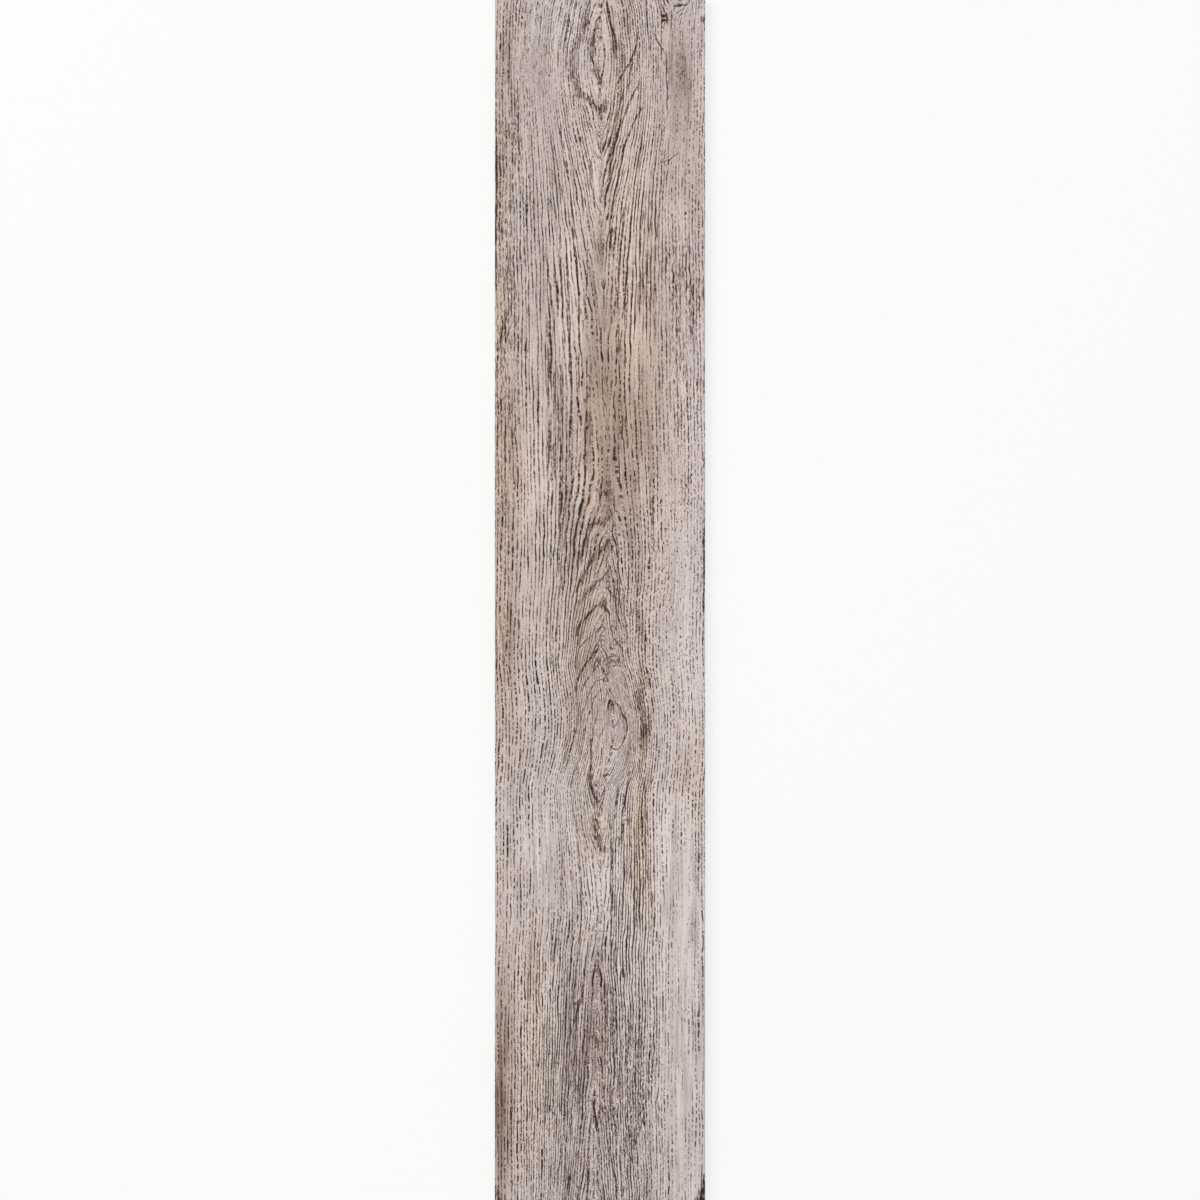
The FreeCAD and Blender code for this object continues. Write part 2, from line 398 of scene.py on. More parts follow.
    (0.8, (-31, -446), (-32.5, -462), (-34.5, -475), (-36, -491)), (0.7, (-18.3, -439), (-19.4, -451)),
    (0.8, (5, -436), (6.4, -451), (8.2, -462)), (0.8, (11.7, -442), (13.3, -449)),
    (0.9, (20.4, -437), (21.4, -455), (22.9, -480)), (0.8, (24.4, -439), (26, -456), (26.3, -469)),
    (0.8, (28.4, -440), (30.4, -462)), (0.7, (38, -439), (38.3, -460)), (0.9, (-13.2, -461), (-11, -471)),
    (0.9, (-14, -469), (-14.6, -481), (-17, -493), (-18.5, -500)), (0.8, (-19, -489), (-19.4, -500)),
    # drying cracks by the small knots at the head
    (1.0, (38.5, 500), (38.7, 487), (40.2, 472), (41.9, 458.5)),
    (0.9, (46.5, 469.5), (49.8, 461.5), (54, 456.3), (55.4, 450), (55.2, 437), (56, 424), (55.8, 410)),
    (0.8, (53.3, 498), (53.4, 490), (55.5, 487)), (0.9, (55, 482), (52, 476)),
    (0.7, (56, 481), (58.3, 477.5)), (0.7, (60, 489), (59.3, 478), (57.5, 463.5)),
    (0.6, (66.8, 437.5), (70, 440)), (0.7, (51.8, 364.5), (57.5, 366), (63.6, 371)),
]
grainStrokes["bold"] = [
    (0.8, (-23, 500), (-24.5, 491), (-26, 481), (-28, 470), (-29.7, 458)),
    (1.0, (6, 500), (6.3, 492), (7.3, 485), (8.6, 479), (10.8, 473), (13.2, 465)),
    (0.9, (31, 476), (30.9, 465), (28.5, 456), (25, 447), (19.5, 439), (15.5, 432), (12.8, 424),
     (11, 414), (8.8, 402), (6.8, 391), (5.2, 382), (2, 374.5)),
    (0.9, (27.5, 449), (25.7, 441), (24.9, 433), (24.2, 425)),
    (0.9, (32, 428), (28, 421), (24.5, 414), (20.3, 402), (15.6, 391), (12.3, 380), (9.8, 370),
     (8.3, 359), (7.1, 349), (5.5, 340), (3.5, 329)),
    (0.9, (34, 408), (30, 401), (26, 393), (23.2, 385), (20.3, 378), (17.8, 366), (15.8, 357),
     (14.2, 346), (11.8, 335), (10.2, 325), (9, 312), (8.9, 300), (9.2, 288)),
    (0.8, (8.8, 383), (7.5, 373), (5.6, 363), (3.7, 354), (2.3, 344), (0.8, 332)),
    (0.9, (-23.8, 331), (-22.6, 318), (-22, 303), (-20.6, 289), (-19, 275), (-18.3, 261), (-17.6, 246),
     (-17.4, 230), (-17.2, 212), (-17.7, 198)),
    (1.0, (25.8, 318), (24.8, 297), (22.8, 278), (21.3, 260), (20.7, 246), (20.6, 236)),
    (0.9, (20, 326), (18.8, 309), (16.8, 291), (15.5, 274), (15, 258), (14.3, 241)),
    (0.9, (-33.4, 303), (-33.2, 290), (-33, 277), (-32, 263), (-31.3, 248), (-31, 232)),
    (0.9, (-28, 299), (-27.5, 279), (-26.6, 261), (-25.8, 246), (-25.3, 230), (-25, 204)),
    (0.8, (-45, 287), (-43, 274), (-41.5, 259), (-40, 245), (-38.8, 233), (-38.3, 214)),
    (1.0, (-44.5, 236), (-44, 221)),
    (0.8, (-43.2, 210), (-42.9, 196), (-43.2, 180), (-42.7, 160), (-42.5, 135), (-42.6, 105), (-43.4, 80)),
    (0.9, (-25, 204), (-25.3, 190), (-24, 181), (-24, 160), (-24.6, 147), (-25.1, 134), (-25.2, 119)),
    (1.0, (-13.4, 119), (-12.3, 108), (-13.2, 96), (-14.3, 91)), (1.0, (-22, 127), (-21.8, 120)),
    (1.0, (-23, 119), (-24, 107)), (1.0, (-21.5, 106), (-23, 95), (-24, 84)),
    (1.0, (-31.5, 101), (-31.8, 86), (-32.5, 72), (-33, 55)),
    (0.45, (12.2, 64), (13.7, 52), (15.3, 38), (15.1, 28), (15.6, 21)),
    (0.35, (6.6, 49), (2.6, 44.5), (0.7, 40.5), (-5.7, 34), (-10.8, 26.5), (-15.4, 17), (-19.4, 8)),
    (1.0, (43.7, 83), (44.4, 64)),
    (0.7, (7.4, -11), (5, -7), (1, -4), (-2.5, -4.8), (-8, -10.7), (-13, -16.6), (-17.8, -23),
     (-18.6, -28)),
    (0.8, (1, -36), (0.3, -39.5), (-4.6, -43.3), (-7.6, -48), (-12.2, -53), (-16, -60), (-19, -69),
     (-19.9, -74)), (1.0, (-36.5, -24), (-36.6, -33)), (1.0, (-38.5, -50), (-38.3, -58)),
    (1.0, (8.4, -83.5), (7.4, -87), (6.3, -91)),
    (0.9, (-7.2, -118), (-7.5, -136), (-8.1, -143), (-7, -156), (-3.4, -165), (-1.6, -174)),
    (0.6, (-12.2, -106.5), (-15.4, -125.5), (-17, -132), (-20.8, -141), (-23.6, -151), (-24, -159),
     (-23.4, -169), (-20.6, -183), (-19, -201), (-16.2, -233), (-15.4, -258), (-18.2, -298)),
    (1.0, (4, -146.5), (4.9, -151.5)),
    (1.0, (24.5, -144), (23, -155), (20.5, -168), (19, -181), (18.5, -199)),
    (1.0, (15.6, -156), (13.7, -169), (12.8, -180)), (1.0, (9, -189), (9.6, -194)),
    (1.0, (-18, -141.5), (-18, -143.5)), (1.0, (-2.3, -171.5), (-1.8, -174)),
    (1.0, (-2.3, -184), (-1.6, -187)),
    (1.0, (9.2, -199), (9.5, -214), (9.4, -230), (9.3, -243), (10, -257), (9.3, -272), (8.8, -290),
     (9.2, -305)), (0.9, (13, -200), (12.8, -217)), (1.0, (13.2, -232), (13.2, -236)),
    (0.9, (12.8, -242), (12.9, -262)), (0.9, (13, -268), (12.8, -298)), (1.0, (15.8, -200), (15.8, -204)),
    (1.0, (19.3, -248), (19.2, -251)), (1.0, (43.6, -244), (43.2, -263)),
    (0.4, (-24.8, -203), (-23.5, -225), (-23, -255), (-23.2, -285), (-24.3, -300)),
    (0.9, (4, -205), (4.6, -213)), (1.0, (-2.3, -253), (-2.1, -255)), (1.0, (39.2, -227), (39.2, -229)),
    (0.7, (-9.5, -284), (-10, -297)),
    (1.0, (-10.2, -296), (-12.3, -305), (-13.8, -316), (-15.5, -330), (-16.5, -337)),
    (1.0, (-18, -335), (-18.5, -344), (-19.8, -356)), (0.9, (-21.6, -337), (-21.3, -351)),
    (1.0, (3.4, -321), (4, -338), (5.2, -352)), (1.0, (9.5, -324), (9.8, -332)),
    (0.9, (13, -301), (12.9, -318), (12.6, -328)), (0.9, (13, -331), (13.4, -347), (13.9, -356)),
    (1.0, (11, -379), (12, -387)), (1.0, (2.5, -399), (2.8, -415)), (1.0, (8.4, -400), (9.3, -416)),
    (1.0, (-3, -414), (-5, -420), (-3.7, -430), (-3, -440)), (1.0, (-33.5, -421), (-33.2, -423.5)),
    (1.0, (-42, -421), (-42, -424)), (1.0, (16.5, -456), (17.1, -464)),
    (1.0, (11, -462), (12, -477), (13.4, -486), (13.9, -498)),
    (1.0, (17, -468), (18.4, -484), (19.2, -499)), (1.0, (-9.3, -463), (-10, -479), (-10.6, -500)),
    (1.0, (-5.6, -488), (-4.9, -496)), (1.0, (-23.7, -472), (-26, -488), (-26.5, -494)),
    (1.0, (-41, -471), (-41, -478)),
    # heads of the small knots, and bruises along the edges
    (1.0, (56, 486.5), (56, 483.5)), (1.0, (67.3, 495.4), (70, 494.7), (72.7, 495.5), (75.5, 500)),
    (1.0, (83.2, 456.5), (83.3, 453.5)), (0.9, (-86.6, 392), (-86.2, 350), (-86.6, 300), (-86.4, 258)),
    (1.0, (86.4, 121), (86.5, 112)), (1.0, (86.4, 83), (86, 60), (86.4, 30), (86, -8)),
    (1.0, (83.5, -500), (85, -493), (86.5, -483)), (1.0, (85.5, -500), (86, -492)),
]
grainStrokes["smudge"] = [
    (0.45, (-1.5, 483), (-4.6, 470), (-6.2, 455), (-5, 443), (-1, 433), (1.5, 428)),
    (0.45, (6, 488), (9, 476), (11.5, 465), (11, 452)),
    (0.4, (-10, 489), (-13, 481), (-17.5, 466), (-23, 455), (-23, 438), (-19, 425)),
    (0.5, (-19, 420), (-14, 420), (-9, 417), (-4, 411), (0, 407), (3, 409), (5, 414)),
    (0.28, (-18.5, 466), (-15, 465)), (0.33, (-4, 475), (-4.6, 470)), (0.45, (-16.5, 384), (-15, 380)),
    (0.5, (0.5, 378), (3.5, 378), (1.8, 374)), (0.22, (-14, 337), (-13.7, 330)),
    (0.28, (-11.5, 489), (-11.8, 484)), (0.22, (-7.5, 453), (-6, 450)), (0.22, (-2.5, 436), (0, 431)),
    (0.28, (12.5, 468), (13.3, 463)), (0.4, (-3, 91), (2, 88.5), (9, 89.5)),
    (0.28, (-14.2, 81), (-17.2, 69), (-20, 58), (-22, 45)),
    (0.3, (9.4, 70.7), (3, 65), (-5, 63.5), (-9, 62), (-12, 49), (-16, 38.5), (-18.4, 31)),
    (0.3, (6.6, 49), (0.7, 40.5), (-5.7, 34), (-10.8, 26.5), (-15.4, 17), (-19.4, 8)),
    (0.3, (7.2, 20), (0.6, 16), (-4, 12.5), (-9.4, 8.5), (-14.4, 1.5), (-17, -3)),
    (0.2, (7.4, -11), (1, -4), (-8, -10.7), (-13, -16.6), (-17.8, -23), (-18.6, -28)),
    (0.12, (1, -36), (-4.6, -43.3), (-12.2, -53), (-16, -60), (-19.9, -74)), (0.28, (1, -4), (5, -7)),
    (0.3, (17, -90), (20.5, -98), (21.5, -107)), (0.45, (36, -98), (37, -110), (35, -122)),
    (0.35, (31, -84), (33.5, -92)), (0.3, (39.5, -98), (40.5, -112)), (0.3, (30, -6), (33, -26)),
    (0.65, (-6, -182), (-3, -195), (1, -208)), (0.44, (-7.8, -140), (-8, -152), (-5, -162), (-3.5, -168)),
    (0.28, (-19.5, -303), (-20.5, -318), (-21.3, -333), (-20, -343)),
    (0.33, (-3, -307), (0.5, -313), (3, -321)), (0.44, (-5, -362), (-2, -369)),
    (0.39, (-8, -414), (-7, -418)), (0.22, (3, -285), (2.5, -298)), (0.8, (85.5, 484), (85.5, 481)),
    (0.22, (85.8, 478), (85.8, 460)), (0.19, (57.8, 443), (58.2, 430)),
    (1.0, (82, -499), (85, -494), (87, -480)), (1.0, (84.5, -500), (86.5, -490), (87, -484)),
    (0.8, (-87, -489), (-84.5, -499)),
]
grainStrokes["stain"] = [
    (0.35, (33, 200), (32, 150), (30.5, 100), (30.5, 60), (33, 10)),
    (0.5, (31, -4), (33.5, -18), (34.5, -32), (34, -46)),
    (0.9, (34, -46), (35.5, -60), (33.5, -78), (36, -94), (38, -106), (35.5, -120), (33, -136)),
    (0.4, (33, -136), (34, -155), (36, -175), (34.5, -200), (36, -222), (33, -246), (32, -275)),
    (0.6, (22, 500), (20, 470), (17, 445), (17, 420), (15, 400), (13, 385), (11, 370), (9, 350), (8, 320)),
    (0.5, (-37, 365), (-37, 345)),
]
strokeWidth = {"fine": 0.62, "bold": 0.85, "smudge": 2.2, "stain": 3.5}    # half of it, in millimetres
strokeEnds = {"dark": 0.6, "from": 2.8, "to": 1.5}      # paler there, and run out over these millimetres
dotGap = 0.0006


def drawnLines(name, strokes):
    # guide curves on the face, one for each stroke, with its darkness kept as the radius
    lines = bpy.data.curves.new(name, "CURVE")
    lines.dimensions = "3D"
    for dark, *points in strokes:
        line = lines.splines.new("BEZIER")
        line.bezier_points.add(len(points) - 1)
        for knob, (across, along) in zip(line.bezier_points, points):
            knob.co = (across / 1000, along / 1000, tileHigh.z)
            knob.handle_left_type = "AUTO"
            knob.handle_right_type = "AUTO"
            knob.radius = dark
        line.bezier_points[0].radius = dark * strokeEnds["dark"]
        line.bezier_points[-1].radius = dark * strokeEnds["dark"]
    guide = bpy.data.objects.new(name, lines)
    bpy.context.collection.objects.link(guide)
    return guide


def picked(tree, points, value, index, kind="FLOAT_VECTOR"):
    # a value read off the nearest point of a guide
    node = tree.nodes.new("GeometryNodeSampleIndex")
    node.data_type = kind
    for socket, source in zip(node.inputs, (points, value, index)):
        tree.links.new(source, socket)
    return node.outputs[0]


def strokePlace(tree, guide, position):
    # millimetres to the side of the nearest stroke, millimetres from it, and its darkness
    drawing = tree.nodes.new("GeometryNodeObjectInfo")
    drawing.inputs["Object"].default_value = guide
    dots = tree.nodes.new("GeometryNodeCurveToPoints")
    dots.mode = "LENGTH"
    dots.inputs["Length"].default_value = dotGap
    tree.links.new(drawing.outputs["Geometry"], dots.inputs["Curve"])
    points = dots.outputs["Points"]
    nearest = tree.nodes.new("GeometryNodeSampleNearest")
    tree.links.new(points, nearest.inputs["Geometry"])
    index = nearest.outputs["Index"]
    spot = picked(tree, points, position, index)
    run = picked(tree, points, dots.outputs["Tangent"], index)
    dark = picked(tree, points, tree.nodes.new("GeometryNodeInputRadius").outputs[0], index, "FLOAT")
    away = vectorMath(tree, "SUBTRACT", position, spot)
    turned = split(tree, vectorMath(tree, "CROSS_PRODUCT", run, away))["Z"]
    off = calc(tree, "MULTIPLY", turned, 1000)
    distance = calc(tree, "MULTIPLY", vectorMath(tree, "LENGTH", away), 1000)
    return vector(tree, off, distance, dark)


def strokeLine(tree, place, halfWidth, shake=0.0):
    # 1 along the middle of a stroke, a little under 0 on its rubbed shoulders, 0 past its ends
    aside, distance, dark = split(tree, place)
    off = calc(tree, "ABSOLUTE", calc(tree, "ADD", aside, shake))
    line = ramp(tree, off, 1.5 * halfWidth, 0.4 * halfWidth)
    shoulder = ramp(tree, off, 1.2 * halfWidth, 1.9 * halfWidth)
    shoulder = calc(tree, "MULTIPLY", shoulder, ramp(tree, off, 3.4 * halfWidth, 2.0 * halfWidth))
    line = calc(tree, "MULTIPLY_ADD", shoulder, -0.2, line)
    line = calc(tree, "MULTIPLY", line, ramp(tree, distance, strokeEnds["from"], strokeEnds["to"]))
    return calc(tree, "MULTIPLY", line, dark)


def strokeCloud(tree, place, halfWidth, ragged):
    # a soft mark about a stroke
    distance, dark = split(tree, place)[1:]
    out = calc(tree, "MULTIPLY_ADD", ragged, halfWidth, distance)
    return calc(tree, "MULTIPLY", ramp(tree, out, 1.8 * halfWidth, 0.3 * halfWidth), dark)


# studio camera straight above, the plank's length fills the picture's height
studio = {"lens": 100.0, "sensor": 36.0, "frameSpan": 0.9985,
          "keyPower": 120.0, "worldLevel": 0.7, "floorGlow": 0.7}
plankLength = tileHigh.y - tileLow.y
cameraHeight = plankLength * studio["frameSpan"] * studio["lens"] / studio["sensor"]
bpy.ops.object.camera_add(location=(0, 0, tileHigh.z + cameraHeight), rotation=(0, 0, 0))
camera = bpy.context.object
camera.data.lens = studio["lens"]
camera.data.sensor_width = studio["sensor"]
bpy.context.scene.camera = camera
bpy.context.scene.view_settings.view_transform = "Standard"
print("camera", round(cameraHeight, 3), "m above the face")


# the plank: a merged copy of the node, its face divided finely, new bevel and walls drawn down from it
plankShape = {
    "halves": 1,                # cuts across the length first
    "faceCuts": (13, 13),       # then two passes, 14 x 14 each way
    "bevel": 0.0006,
    "backLimit": 0.002,         # the back lies under this height
    "cellSide": (0.0105, 0.0115),
    "ribRound": 0.0004,
    "strokeGroove": 0.28,       # millimetres deep
    "brushGroove": 0.08,
    "smoothUnder": 35,
}
slack = 1e-5


def selectFaces(shape, chosen):
    bpy.ops.object.mode_set(mode="OBJECT")
    for face in shape.polygons:
        face.select = chosen(face.center, face.normal)
    bpy.ops.object.mode_set(mode="EDIT")


def selectEdges(shape, chosen):
    bpy.ops.object.mode_set(mode="EDIT")
    bpy.ops.mesh.select_mode(type="EDGE")
    bpy.ops.mesh.select_all(action="DESELECT")
    bpy.ops.object.mode_set(mode="OBJECT")
    for edge in shape.edges:
        first, last = [shape.vertices[index].co for index in edge.vertices]
        edge.select = chosen(first, last)
    bpy.ops.object.mode_set(mode="EDIT")


def onTop(first, last):
    return min(first.z, last.z) > tileHigh.z - slack


def onBack(first, last):
    return max(first.z, last.z) < slack


def onSides(first, last, width):
    return abs(first.x + last.x) > 2 * width - slack


def onRim(first, last, width, length):
    return onSides(first, last, width) or abs(first.y + last.y) > 2 * length - slack


bpy.ops.object.select_all(action="DESELECT")
plank = bpy.data.objects.new("wood_plank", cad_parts["plank_tile"].data.copy())
bpy.context.collection.objects.link(plank)
bpy.context.view_layer.objects.active = plank
plank.select_set(True)
shape = plank.data
bpy.ops.mesh.customdata_custom_splitnormals_clear()
bpy.ops.object.mode_set(mode="EDIT")
bpy.ops.mesh.select_mode(type="FACE")
bpy.ops.mesh.select_all(action="SELECT")
bpy.ops.mesh.remove_doubles(threshold=1e-6)

# old bevel and walls off, the face made one square again and divided
rimX = tileHigh.x - plankShape["bevel"]
rimY = tileHigh.y - plankShape["bevel"]
selectFaces(shape, lambda middle, normal: middle.z > plankShape["backLimit"] and normal.z < 0.99)
bpy.ops.mesh.delete(type="FACE")
bpy.ops.mesh.select_mode(type="FACE")
selectFaces(shape, lambda middle, normal: middle.z > plankShape["backLimit"])
bpy.ops.mesh.dissolve_limited(angle_limit=0.01)
selectEdges(shape, lambda first, last: onTop(first, last) and onSides(first, last, rimX))
bpy.ops.mesh.subdivide(number_cuts=plankShape["halves"])
bpy.ops.mesh.select_mode(type="FACE")
for cuts in plankShape["faceCuts"]:
    selectFaces(shape, lambda middle, normal: middle.z > plankShape["backLimit"])
    bpy.ops.mesh.subdivide(number_cuts=cuts)
print("face divided,", len(shape.polygons), "faces")

# the back's border divided alike, so that the new walls meet it point for point
selectEdges(shape, lambda first, last: onBack(first, last) and onSides(first, last, tileHigh.x))
bpy.ops.mesh.subdivide(number_cuts=plankShape["halves"])
for cuts in plankShape["faceCuts"]:
    selectEdges(shape, lambda first, last: onBack(first, last) and onRim(first, last, tileHigh.x, tileHigh.y))
    bpy.ops.mesh.subdivide(number_cuts=cuts)

# rim of the face drawn out to the bevel, then down as walls
selectEdges(shape, lambda first, last: onTop(first, last) and onRim(first, last, rimX, rimY))
bpy.ops.mesh.extrude_region_move(TRANSFORM_OT_translate={"value": (0, 0, -plankShape["bevel"])})
bpy.ops.transform.resize(value=(tileHigh.x / rimX, tileHigh.y / rimY, 1), center_override=(0, 0, 0))
bpy.ops.mesh.extrude_region_move(TRANSFORM_OT_translate={"value": (0, 0, plankShape["bevel"] - tileHigh.z)})
bpy.ops.mesh.select_all(action="SELECT")
bpy.ops.mesh.remove_doubles(threshold=slack)
bpy.ops.mesh.normals_make_consistent(inside=False)
print("bevel and walls drawn,", len(shape.polygons), "faces")

# rib arrises of the back a little rounded, as pressed
shortest, longest = plankShape["cellSide"]
selectEdges(shape, lambda first, last: onBack(first, last) and shortest < (last - first).length < longest)
bpy.ops.mesh.bevel(offset=plankShape["ribRound"], segments=2, affect="EDGES")
bpy.ops.object.mode_set(mode="OBJECT")

# weathering of the face in soft ovals: across, along, half width, half length, amount
weathering = {}
weathering["level"] = [
    (0, 485, 10, 25, 0.08), (-26, 474, 12, 25, 0.08), (12, 480, 32, 30, -0.04), (59, 450, 12, 30, -0.06),
    (68, 428, 9, 12, -0.07), (62, 452, 14, 9, -0.05), (66, 400, 10, 14, -0.04), (76, 430, 12, 90, -0.03),
    (-78, 420, 10, 110, -0.055), (0, 355, 10, 35, 0.05), (24, 345, 12, 38, 0.09), (-26, 330, 10, 40, -0.04),
    (-24, 290, 14, 40, 0.04), (-80, 200, 12, 340, -0.06), (0, 260, 10, 30, -0.07), (69, 267, 8, 25, -0.07),
    (85, 255, 8, 20, -0.05), (50, 215, 10, 90, -0.04), (-23, 220, 12, 50, 0.1), (24, 190, 12, 80, 0.06),
    (10, 217, 14, 100, -0.05), (-50, 135, 13, 70, 0.09), (25, 133, 10, 45, -0.05), (73, 100, 10, 25, -0.05),
    (0, 83, 33, 140, -0.08), (10, 95, 18, 30, -0.03), (-24, 10, 12, 90, -0.05), (0, -30, 10, 40, 0.05),
    (8, -30, 24, 120, -0.02), (48, -105, 10, 30, -0.05), (24, -110, 10, 40, -0.05),
    (72, -136, 10, 24, -0.1), (70, -167, 20, 400, 0.075), (-48, -208, 18, 50, 0.15),
    (52, -200, 12, 55, 0.13), (-4, -235, 14, 38, 0.09), (27, -208, 11, 110, -0.03),
    (-76, -300, 10, 130, 0.05), (-82, -415, 10, 105, -0.19), (73, -365, 17, 110, 0.1),
    (0, -365, 32, 90, -0.15), (0, -390, 34, 40, -0.05), (-25, -360, 12, 70, -0.05),
    (-26, -415, 22, 70, -0.08), (-50, -405, 14, 70, -0.06), (-50, -450, 14, 50, -0.05),
    (0, -430, 14, 70, -0.04), (24, -420, 14, 100, -0.06), (-22, -480, 26, 22, -0.03),
    (15, -470, 22, 30, -0.05), (32, -205, 8, 45, -0.08), (-56, -315, 6, 30, -0.08),
    (-76, 300, 10, 120, 0.05), (-80, -50, 10, 50, -0.05), (-76, -205, 10, 30, -0.04),
    (-50, 350, 14, 140, -0.035), (-50, -17, 10, 20, -0.04), (-26, 335, 10, 30, -0.03),
    (-26, 130, 10, 30, -0.1), (-26, -100, 10, 60, -0.035), (-26, -440, 14, 35, 0.08),
    (0, 300, 10, 35, -0.08), (0, -365, 12, 30, 0.06), (24, -270, 10, 65, -0.06), (34, -420, 22, 35, 0.08),
    (48, 350, 10, 30, -0.035), (48, 125, 10, 45, -0.045), (60, -35, 18, 30, -0.04), (73, 150, 10, 20, 0.04),
    (73, 65, 10, 30, -0.02), (62, -150, 20, 20, -0.06),
]
weathering["contrast"] = [
    (-50, 440, 25, 70, -0.3), (67, 418, 20, 85, -0.45), (73, 330, 14, 40, -0.25), (26, 150, 19, 75, -0.5),
    (-1, 187, 15, 100, -0.5), (-35, 213, 24, 97, -0.42), (50, 200, 14, 80, -0.3), (60, 0, 24, 50, -0.25),
    (-62, 30, 22, 110, -0.25), (-28, -40, 17, 65, 0.4), (25, -90, 12, 60, 0.35), (48, -123, 12, 30, 0.3),
    (75, -123, 10, 40, -0.25), (-75, -123, 12, 50, -0.15), (-46, -215, 19, 52, -0.85),
    (58, -233, 15, 62, -0.85), (24, -265, 19, 90, 1.7), (-75, -300, 12, 80, -0.35),
    (-46, -325, 16, 35, 0.4), (48, -310, 12, 60, 0.4), (24, -340, 16, 40, 0.4), (-45, -400, 26, 95, 0.9),
    (15, -430, 30, 80, 0.5), (20, -470, 24, 40, 0.35), (72, -395, 19, 105, -1.0), (-82, -415, 8, 105, -0.6),
]
weathering["brown"] = [
    (18, 190, 38, 150, 1.0), (16, 400, 18, 110, 0.4), (-84, 280, 9, 260, 0.8), (-82, -400, 9, 110, 0.8),
    (-70, 110, 18, 75, 0.9), (-14, -35, 20, 75, 0.75), (31, -100, 10, 150, 0.3), (86, 370, 8, 40, 0.6),
    (78, -145, 10, 25, 0.5), (-80, -55, 12, 60, 1.0), (-56, -315, 6, 35, 0.6), (-8, 117, 14, 85, 0.5),
    (35, 240, 9, 130, 0.35), (-56, -375, 12, 75, 0.8), (69, 367, 8, 20, 0.4), (32, -210, 9, 50, 0.9),
    (-3, -195, 9, 20, 0.8), (-84, 10, 9, 30, 0.8),
]
weathering["ticked"] = [
    (-58, 445, 24, 60, 0.6), (66, 425, 18, 60, 0.7), (66, -400, 10, 90, 0.6), (66, 50, 18, 75, 1.0),
    (62, -60, 18, 50, 0.6), (72, -255, 9, 70, 0.7),
]
weathering["lined"] = [
    (-40, 200, 22, 140, 0.9), (38, 270, 18, 90, 0.9), (28, 150, 14, 60, 0.3), (24, -265, 15, 95, 0.8),
    (-40, 20, 24, 60, 0.6), (-8, -45, 16, 60, 0.6), (-40, -370, 20, 60, 0.5), (25, -460, 24, 40, 0.4),
    (-25, -470, 15, 35, 0.4), (18, 385, 22, 60, 0.6), (-30, 345, 16, 30, 0.4),
]
weathering["grainy"] = [
    (-78, 200, 12, 200, 0.8), (68, 240, 18, 100, 0.8), (62, 430, 20, 60, 0.5), (-58, 440, 22, 60, 0.5),
    (32, -410, 22, 60, 0.7), (-25, -440, 20, 50, 0.4), (0, -190, 12, 25, 0.5), (76, -240, 8, 60, 0.5),
]

# grain relief, pressed down from the top plane; the tree also leaves the grain's run and stains on the mesh
reliefTree = bpy.data.node_groups.new("grainRelief", "GeometryNodeTree")
for way in ("INPUT", "OUTPUT"):
    reliefTree.interface.new_socket("Geometry", in_out=way, socket_type="NodeSocketGeometry")
groupIn = reliefTree.nodes.new("NodeGroupInput")
groupOut = reliefTree.nodes.new("NodeGroupOutput")
position = reliefTree.nodes.new("GeometryNodeInputPosition").outputs[0]
place = split(reliefTree, position)
across = calc(reliefTree, "MULTIPLY", place["X"], 1000)
along = calc(reliefTree, "MULTIPLY", place["Y"], 1000)
grain, upright, steep = grainPlace(reliefTree, across, along)
flat = vector(reliefTree, across, along, 0.0)
ovals = {name: patches(reliefTree, flat, listed) for name, listed in weathering.items()}
contrast = calc(reliefTree, "ADD", ovals["contrast"], 1)
kept = {
    "grain": grain,
    "wash": vector(reliefTree, ovals["level"], contrast, ovals["brown"]),
    "figure": vector(reliefTree, ovals["lined"], upright, steep),
    "marking": vector(reliefTree, ovals["ticked"], ovals["grainy"], 0.0),
}
guides = [drawnLines(name, strokes) for name, strokes in grainStrokes.items()]
for guide in guides:
    kept[guide.name] = strokePlace(reliefTree, guide, position)
fine = strokeLine(reliefTree, kept["fine"], strokeWidth["fine"])
bold = strokeLine(reliefTree, kept["bold"], strokeWidth["bold"])
brush = calc(reliefTree, "MULTIPLY", combed(reliefTree, grain, steep, ovals["lined"]), upright)
groove = calc(reliefTree, "MULTIPLY", calc(reliefTree, "MAXIMUM", fine, bold), plankShape["strokeGroove"])
groove = calc(reliefTree, "MULTIPLY_ADD", brush, plankShape["brushGroove"], groove)
groove = calc(reliefTree, "MAXIMUM", groove, 0.0)
onFace = calc(reliefTree, "GREATER_THAN", place["Z"], tileHigh.z - slack)
drop = calc(reliefTree, "MULTIPLY", calc(reliefTree, "MULTIPLY", groove, -0.001), onFace)
made = groupIn.outputs[0]
for name, value in kept.items():
    keep = reliefTree.nodes.new("GeometryNodeStoreNamedAttribute")
    keep.data_type = "FLOAT_VECTOR"
    keep.inputs["Name"].default_value = name
    reliefTree.links.new(made, keep.inputs["Geometry"])
    reliefTree.links.new(value, keep.inputs["Value"])
    made = keep.outputs[0]
press = reliefTree.nodes.new("GeometryNodeSetPosition")
reliefTree.links.new(made, press.inputs["Geometry"])
reliefTree.links.new(vector(reliefTree, 0.0, 0.0, drop), press.inputs["Offset"])
reliefTree.links.new(press.outputs[0], groupOut.inputs[0])
relief = plank.modifiers.new("grainRelief", "NODES")
relief.node_group = reliefTree
bpy.ops.object.modifier_apply(modifier=relief.name)
for guide in guides:
    bpy.data.objects.remove(guide)
bpy.ops.object.shade_smooth_by_angle(angle=math.radians(plankShape["smoothUnder"]))
print("grain pressed,", len(shape.polygons), "faces")


def newMaterial(name):
    material = bpy.data.materials.new(name)
    material.use_nodes = True
    return material, material.node_tree, material.node_tree.nodes["Principled BSDF"]


